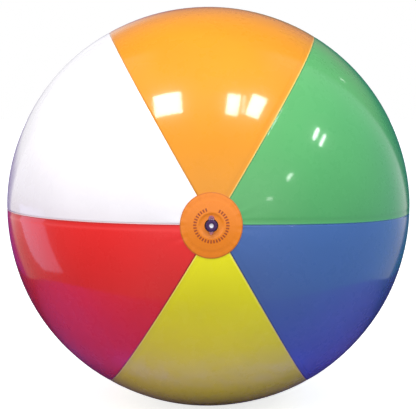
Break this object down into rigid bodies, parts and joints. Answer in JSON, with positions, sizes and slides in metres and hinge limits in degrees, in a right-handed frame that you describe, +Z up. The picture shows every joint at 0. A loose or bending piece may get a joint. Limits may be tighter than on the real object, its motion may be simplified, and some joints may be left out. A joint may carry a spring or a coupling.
{
  "type": "inflatable beach ball",
  "caption": "Inflated beach ball of coloured film panels lap-welded from pole to pole, with a disc over each pole and a push-in air valve closed by a plug on a strap.",
  "frame": {"origin": "centre of the inflated ball", "axes": "+Z up; -Y along the poles' axis towards the valve, the front; +X to the right of someone who looks at the valve"},
  "size_m": [0.399, 0.4027, 0.398],
  "materials": {
    "film_green": "gloss",
    "film_orange": "gloss",
    "film_white": "gloss",
    "film_red": "gloss",
    "film_yellow": "gloss",
    "film_blue": "gloss",
    "film_disc": "gloss",
    "valve_vinyl": "clear gloss"
  },
  "bodies": {
    "envelope": {"panel_green": "film_green", "panel_orange": "film_orange", "panel_white": "film_white", "panel_red": "film_red", "panel_yellow": "film_yellow", "panel_blue": "film_blue", "front_disc": "film_disc", "rear_disc": "film_disc", "valve_flange": "valve_vinyl", "valve_skirt": "valve_vinyl"},
    "stem": {"valve_stem": "valve_vinyl", "plug_strap": "valve_vinyl"},
    "plug": {"valve_plug": "valve_vinyl"},
    "flap": {"check_flap": "valve_vinyl"}
  },
  "joints": [
    {"name": "stem_slide", "type": "slide", "parent": "envelope", "child": "stem", "axis": [0, -1, 0], "range_m": [0, 0.015], "deforming": ["valve_skirt"]},
    {"name": "plug_hinge", "type": "hinge", "parent": "stem", "child": "plug", "pos_m": [0, -0.20125, 0.00605], "axis": [-1, 0, 0], "range_deg": [0, 150], "deforming": ["plug_strap"]},
    {"name": "flap_hinge", "type": "hinge", "parent": "stem", "child": "flap", "pos_m": [0, -0.1842, 0.0043], "axis": [1, 0, 0], "range_deg": [0, 60], "stiffness_Nm_per_rad": 0.0005}
  ]
}
